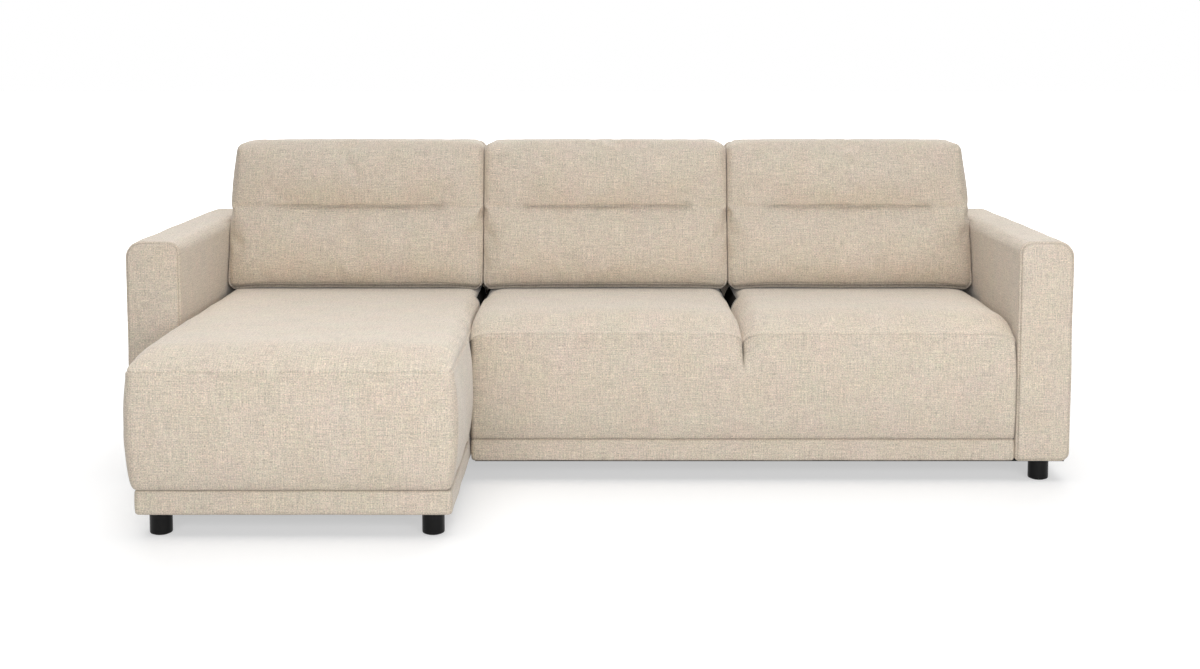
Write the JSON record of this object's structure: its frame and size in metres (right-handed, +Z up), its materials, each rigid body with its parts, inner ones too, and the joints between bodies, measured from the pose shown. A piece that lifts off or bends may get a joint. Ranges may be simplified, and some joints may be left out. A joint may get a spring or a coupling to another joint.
{
  "type": "sectional sofa with chaise",
  "caption": "Upholstered corner sofa: a chaise module and a two-seat module hooked together, on low round feet, with loose tufted back cushions.",
  "frame": {"origin": "on the floor, in the middle of the whole sofa's outline seen from above", "axes": "+X along the sofa to the right of someone who faces its front, -Y the way the seats and the chaise face, +Z up"},
  "size_m": [2.52, 1.425, 0.8849],
  "materials": {
    "upholstery": "warm beige woven linen-look cloth",
    "foam": "pale yellow seat foam",
    "wadding": "white polyester wadding",
    "timber": "planed pine and plywood",
    "panel_board": "thin hardboard",
    "spring_steel": "oiled spring wire",
    "zinc_steel": "zinc plated steel",
    "felt": "grey needled felt",
    "webbing": "woven elastic webbing",
    "foot_plastic": "black moulded plastic",
    "glide_felt": "dark felt pads",
    "dust_cloth": "black spun cloth"
  },
  "bodies": {
    "chaise_module": {"chaise_back_cover": "upholstery", "chaise_back_padding": "wadding", "chaise_back_rails": "timber", "chaise_back_ribs": "timber", "chaise_back_webbing": "webbing", "chaise_base_band": "upholstery", "chaise_base_rails": "timber", "chaise_connector_plates": "zinc_steel", "chaise_connector_screws": "zinc_steel", "chaise_cross_rails": "timber", "chaise_dust_cover": "dust_cloth", "chaise_feet": "foot_plastic", "chaise_foot_blocks": "timber", "chaise_foot_bolts": "zinc_steel", "chaise_foot_glides": "glide_felt", "chaise_foot_nuts": "zinc_steel", "chaise_frame_bolts": "zinc_steel", "chaise_seat_cover": "upholstery", "chaise_seat_foam": "foam", "chaise_spring_clips": "zinc_steel", "chaise_spring_felt": "felt", "chaise_springs": "spring_steel", "left_arm_cleat": "timber", "left_arm_cover": "upholstery", "left_arm_frame": "timber", "left_arm_padding": "wadding", "left_arm_panels": "panel_board"},
    "loveseat_module": {"left_seat_foam": "foam", "loveseat_back_cover": "upholstery", "loveseat_back_padding": "wadding", "loveseat_back_rails": "timber", "loveseat_back_ribs": "timber", "loveseat_back_webbing": "webbing", "loveseat_base_band": "upholstery", "loveseat_base_rails": "timber", "loveseat_connector_plates": "zinc_steel", "loveseat_connector_screws": "zinc_steel", "loveseat_cross_rails": "timber", "loveseat_dust_cover": "dust_cloth", "loveseat_feet": "foot_plastic", "loveseat_foot_blocks": "timber", "loveseat_foot_bolts": "zinc_steel", "loveseat_foot_glides": "glide_felt", "loveseat_foot_nuts": "zinc_steel", "loveseat_frame_bolts": "zinc_steel", "loveseat_seat_cover": "upholstery", "loveseat_spring_clips": "zinc_steel", "loveseat_spring_felt": "felt", "loveseat_springs": "spring_steel", "right_arm_cover": "upholstery", "right_arm_frame": "timber", "right_arm_padding": "wadding", "right_arm_panels": "panel_board", "right_seat_foam": "foam"},
    "left_back_cushion": {"left_cushion_cover": "upholstery", "left_cushion_core": "wadding"},
    "middle_back_cushion": {"middle_cushion_cover": "upholstery", "middle_cushion_core": "wadding"},
    "right_back_cushion": {"right_cushion_cover": "upholstery", "right_cushion_core": "wadding"}
  },
  "joints": [
    {"name": "loveseat_lift_off", "type": "slide", "parent": "chaise_module", "child": "loveseat_module", "axis": [0, 0, 1], "range_m": [0, 0.02]},
    {"name": "left_back_cushion_lift", "type": "slide", "parent": "chaise_module", "child": "left_back_cushion", "axis": [0, 0.2164, 0.9763], "range_m": [0, 0.3]},
    {"name": "middle_back_cushion_lift", "type": "slide", "parent": "loveseat_module", "child": "middle_back_cushion", "axis": [0, 0.2164, 0.9763], "range_m": [0, 0.3]},
    {"name": "right_back_cushion_lift", "type": "slide", "parent": "loveseat_module", "child": "right_back_cushion", "axis": [0, 0.2164, 0.9763], "range_m": [0, 0.3]}
  ]
}
